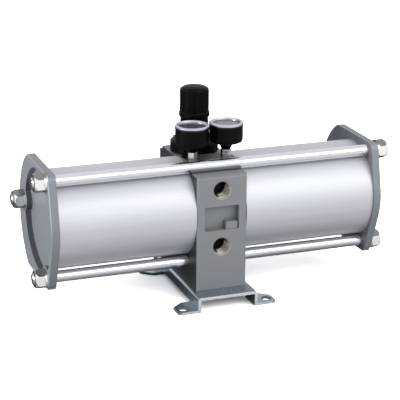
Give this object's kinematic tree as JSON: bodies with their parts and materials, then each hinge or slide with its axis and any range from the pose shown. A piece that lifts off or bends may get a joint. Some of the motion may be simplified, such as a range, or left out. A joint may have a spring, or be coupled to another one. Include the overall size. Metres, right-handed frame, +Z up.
{
  "type": "compressed air booster",
  "caption": "Twin-cylinder compressed-air pressure booster with a centre valve body, governor knob, gauges, tie-rod end covers and a sheet foot bracket.",
  "frame": {"origin": "centre of the four foot holes, on the floor plane under the feet", "axes": "+X along the cylinders, +Y from the front ports to the back, +Z up"},
  "size_m": [0.404, 0.158, 0.2216],
  "materials": {
    "body_casting": "fine-textured grey paint on a die casting",
    "tube": "clear anodised, satin",
    "cover_casting": "die cast, tumbled and clear coated",
    "bright_steel": "bright zinc plate",
    "dark_steel": "black oxide",
    "spring_steel": "drawn wire",
    "bracket_paint": "slate blue-grey coat",
    "dark_paint": "dark grey coat",
    "black_plastic": "moulded, lightly grained",
    "wear_plastic": "machined",
    "inner_aluminium": "turned",
    "bronze": "turned",
    "rubber": "moulded",
    "lens": "clear",
    "dial": "printed",
    "pointer": "black"
  },
  "bodies": {
    "frame": {"centre_body": "body_casting", "left_tube": "tube", "right_tube": "tube", "left_cover": "cover_casting", "right_cover": "cover_casting", "tie_rods": "bright_steel", "tie_rod_nuts": "bright_steel", "tie_rod_washers": "bright_steel", "tube_seals": "rubber", "rod_bush": "bronze", "rod_seals": "rubber", "seal_retainers": "bronze", "pilot_pin_guides": "bronze", "spool_sleeve": "inner_aluminium", "spool_end_cap": "dark_paint", "spool_cap_screws": "dark_steel", "check_valve_plugs": "bronze", "foot_bracket": "bracket_paint", "bracket_bolts": "dark_steel", "gauge_block": "dark_paint", "block_plug": "black_plastic", "gauge_stems": "bright_steel", "gauge_lenses": "lens", "gauge_dials": "dial", "left_gauge_case": "black_plastic", "right_gauge_case": "black_plastic", "left_gauge_bezel": "bright_steel", "right_gauge_bezel": "bright_steel", "governor_bonnet": "black_plastic", "bonnet_screws": "dark_steel", "diaphragm": "rubber", "diaphragm_plates": "inner_aluminium", "governor_spring": "spring_steel", "governor_seat": "bronze", "valve_spring": "spring_steel", "check_spring_1": "spring_steel", "check_spring_2": "spring_steel", "check_spring_3": "spring_steel", "check_spring_4": "spring_steel"},
    "piston_assembly": {"piston_rod": "bright_steel", "left_piston": "inner_aluminium", "right_piston": "inner_aluminium", "piston_seals": "rubber", "guide_bands": "wear_plastic", "piston_nuts": "bright_steel"},
    "left_pin": {"left_pilot_pin": "bright_steel"},
    "right_pin": {"right_pilot_pin": "bright_steel"},
    "switching_spool": {"spool": "bright_steel"},
    "screw": {"adjusting_screw": "bright_steel"},
    "knob": {"governor_knob": "black_plastic"},
    "travelling_seat": {"spring_seat": "bronze"},
    "supply_valve": {"governor_valve": "bronze"},
    "left_pointer": {"left_gauge_pointer": "pointer"},
    "right_pointer": {"right_gauge_pointer": "pointer"},
    "check_poppet_1": {"check_valve_1": "bronze"},
    "check_poppet_2": {"check_valve_2": "bronze"},
    "check_poppet_3": {"check_valve_3": "bronze"},
    "check_poppet_4": {"check_valve_4": "bronze"}
  },
  "joints": [
    {"name": "piston_slide", "type": "slide", "parent": "frame", "child": "piston_assembly", "axis": [1, 0, 0], "range_m": [-0.0544, 0.0544]},
    {"name": "left_pin_slide", "type": "slide", "parent": "frame", "child": "left_pin", "axis": [1, 0, 0], "range_m": [0, 0.0025]},
    {"name": "right_pin_slide", "type": "slide", "parent": "frame", "child": "right_pin", "axis": [-1, 0, 0], "range_m": [0, 0.0025]},
    {"name": "spool_slide", "type": "slide", "parent": "frame", "child": "switching_spool", "axis": [0, 1, 0], "range_m": [-0.004, 0.004]},
    {"name": "knob_turn", "type": "hinge", "parent": "frame", "child": "screw", "pos_m": [0, 0.035, 0.19], "axis": [0, 0, -1], "range_deg": [0, 2520]},
    {"name": "knob_lift", "type": "slide", "parent": "screw", "child": "knob", "axis": [0, 0, 1], "range_m": [0, 0.003]},
    {"name": "seat_travel", "type": "slide", "parent": "frame", "child": "travelling_seat", "axis": [0, 0, -1], "range_m": [0, 0.0087], "deforming": ["governor_spring"]},
    {"name": "supply_valve_lift", "type": "slide", "parent": "frame", "child": "supply_valve", "axis": [0, 0, -1], "range_m": [0, 0.0015], "stiffness_N_per_m": 300, "springref_m": -0.003, "deforming": ["valve_spring"]},
    {"name": "left_pointer_turn", "type": "hinge", "parent": "frame", "child": "left_pointer", "pos_m": [-0.0195, -0.012, 0.182], "axis": [0, 0, -1], "range_deg": [0, 270], "stiffness_Nm_per_rad": 0.0001, "springref_deg": -11.46},
    {"name": "right_pointer_turn", "type": "hinge", "parent": "frame", "child": "right_pointer", "pos_m": [0.0195, -0.012, 0.182], "axis": [0, 0, -1], "range_deg": [0, 270], "stiffness_Nm_per_rad": 0.0001, "springref_deg": -11.46},
    {"name": "check_valve_1_lift", "type": "slide", "parent": "frame", "child": "check_poppet_1", "axis": [0, 0, -1], "range_m": [0, 0.002], "stiffness_N_per_m": 150, "springref_m": -0.003, "deforming": ["check_spring_1"]},
    {"name": "check_valve_2_lift", "type": "slide", "parent": "frame", "child": "check_poppet_2", "axis": [0, 0, -1], "range_m": [0, 0.002], "stiffness_N_per_m": 150, "springref_m": -0.003, "deforming": ["check_spring_2"]},
    {"name": "check_valve_3_lift", "type": "slide", "parent": "frame", "child": "check_poppet_3", "axis": [0, 0, -1], "range_m": [0, 0.002], "stiffness_N_per_m": 150, "springref_m": -0.003, "deforming": ["check_spring_3"]},
    {"name": "check_valve_4_lift", "type": "slide", "parent": "frame", "child": "check_poppet_4", "axis": [0, 0, -1], "range_m": [0, 0.002], "stiffness_N_per_m": 150, "springref_m": -0.003, "deforming": ["check_spring_4"]}
  ],
  "couplings": [
    {"joint": "knob_turn", "follows": "seat_travel", "rad_per_m": 5026.5}
  ]
}
